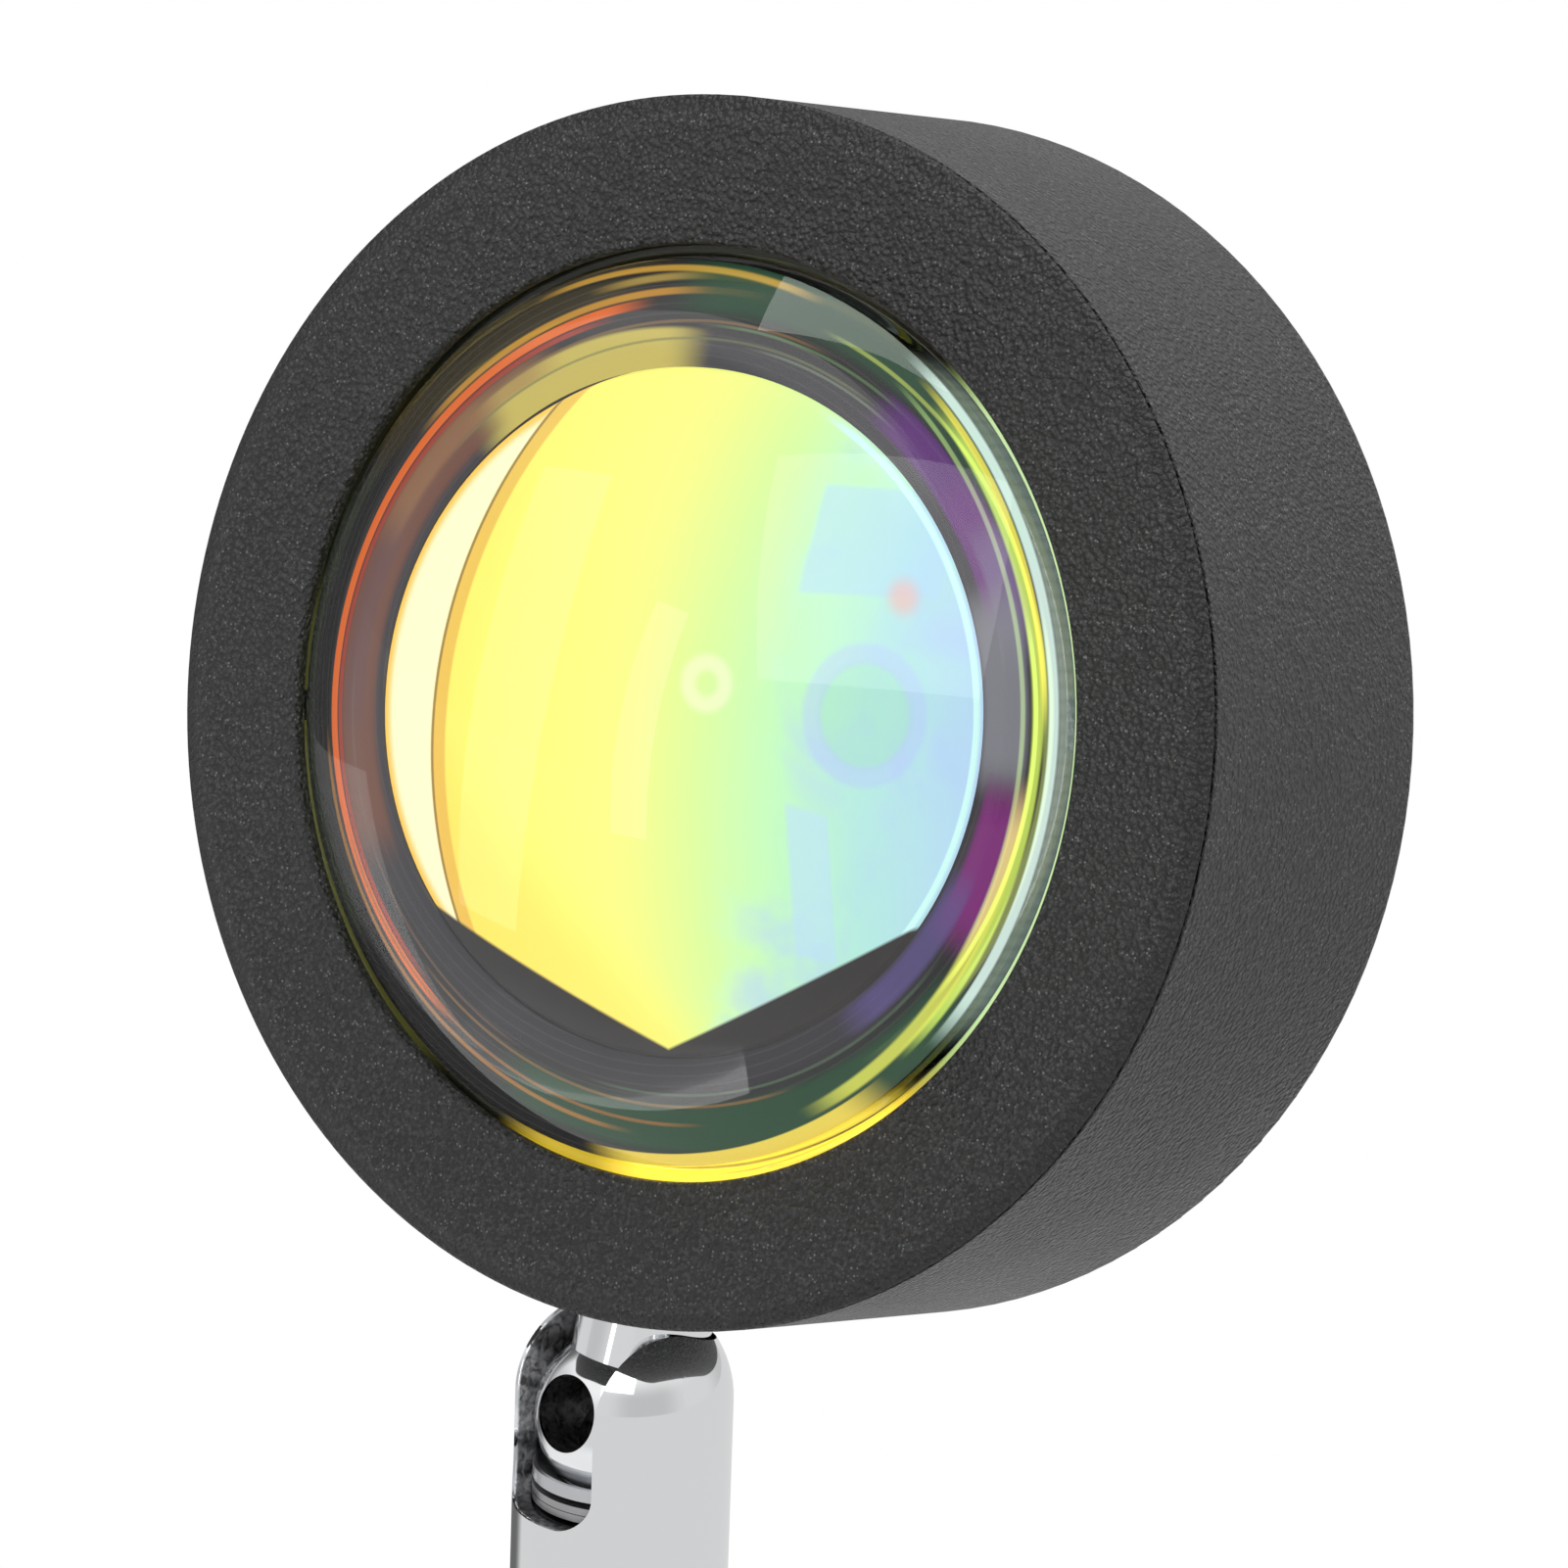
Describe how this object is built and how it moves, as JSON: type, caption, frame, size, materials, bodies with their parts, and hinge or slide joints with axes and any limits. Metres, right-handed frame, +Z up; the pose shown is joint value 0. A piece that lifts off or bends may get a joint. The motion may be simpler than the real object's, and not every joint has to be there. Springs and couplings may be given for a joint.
{
  "type": "sunset projection lamp",
  "caption": "Table lamp with a round domed-lens projector head on a slotted ball swivel, a slim chrome pole and a heavy round base.",
  "frame": {"origin": "centre of the base where it rests on the table", "axes": "+Z up along the pole, -Y is the way the lens faces at rest, +X to the right of a person behind the lens"},
  "size_m": [0.1, 0.1, 0.2497],
  "materials": {
    "foot_rubber": "matte",
    "base_black": "fine black powder coat",
    "grommet_rubber": "matte",
    "zinc_steel": "bright zinc plate",
    "spigot_steel": "turned",
    "pole_chrome": "mirror chrome",
    "lead_insulation": "black pvc",
    "sleeve_black": "shrink sleeve",
    "spring_steel": "oiled",
    "black_steel": "black oxide",
    "head_charcoal": "charcoal grained powder coat",
    "lens_glass": "clear",
    "clip_clear": "clear moulded ring",
    "filter_dichroic": "dichroic coating",
    "holder_black": "matte",
    "sink_aluminium": "machined",
    "board_white": "white solder mask",
    "package_white": "matte",
    "phosphor": "phosphor",
    "cap_clear": "clear"
  },
  "bodies": {
    "stand": {"foot_pad": "foot_rubber", "base_disc": "base_black", "cord_grommet": "grommet_rubber", "base_washer": "zinc_steel", "base_nut": "zinc_steel", "foot_plug": "spigot_steel", "pole": "pole_chrome", "pivot_spigot": "spigot_steel", "pole_leads": "lead_insulation", "splice_sleeves": "sleeve_black"},
    "swivel": {"swivel_body": "pole_chrome", "pressure_washer": "zinc_steel", "disc_springs": "spring_steel", "clamp_screw": "black_steel", "set_screw": "black_steel"},
    "ball": {"ball_stem": "pole_chrome", "stem_washer": "zinc_steel", "stem_nut": "zinc_steel"},
    "head": {"head_shell": "head_charcoal", "front_ring": "head_charcoal", "lens": "lens_glass", "lens_clip": "clip_clear", "dichroic_filter": "filter_dichroic", "lens_holder": "holder_black", "rear_screws": "black_steel", "board_screws": "zinc_steel", "heat_sink": "sink_aluminium", "led_board": "board_white", "led_package": "package_white", "led_emitter": "phosphor", "led_cap": "cap_clear", "head_leads": "lead_insulation"}
  },
  "joints": [
    {"name": "swivel_pan", "type": "hinge", "parent": "stand", "child": "swivel", "pos_m": [0, 0, 0.137], "axis": [0, 0, 1], "range_deg": [-155, 155]},
    {"name": "ball_tilt", "type": "hinge", "parent": "swivel", "child": "ball", "pos_m": [0, 0, 0.161], "axis": [0.9367, -0.3502, 0], "range_deg": [-2, 90]},
    {"name": "head_spin", "type": "hinge", "parent": "ball", "child": "head", "pos_m": [0, 0, 0.161], "axis": [0.0823, 0.2203, 0.972], "range_deg": [-165, 165]}
  ]
}
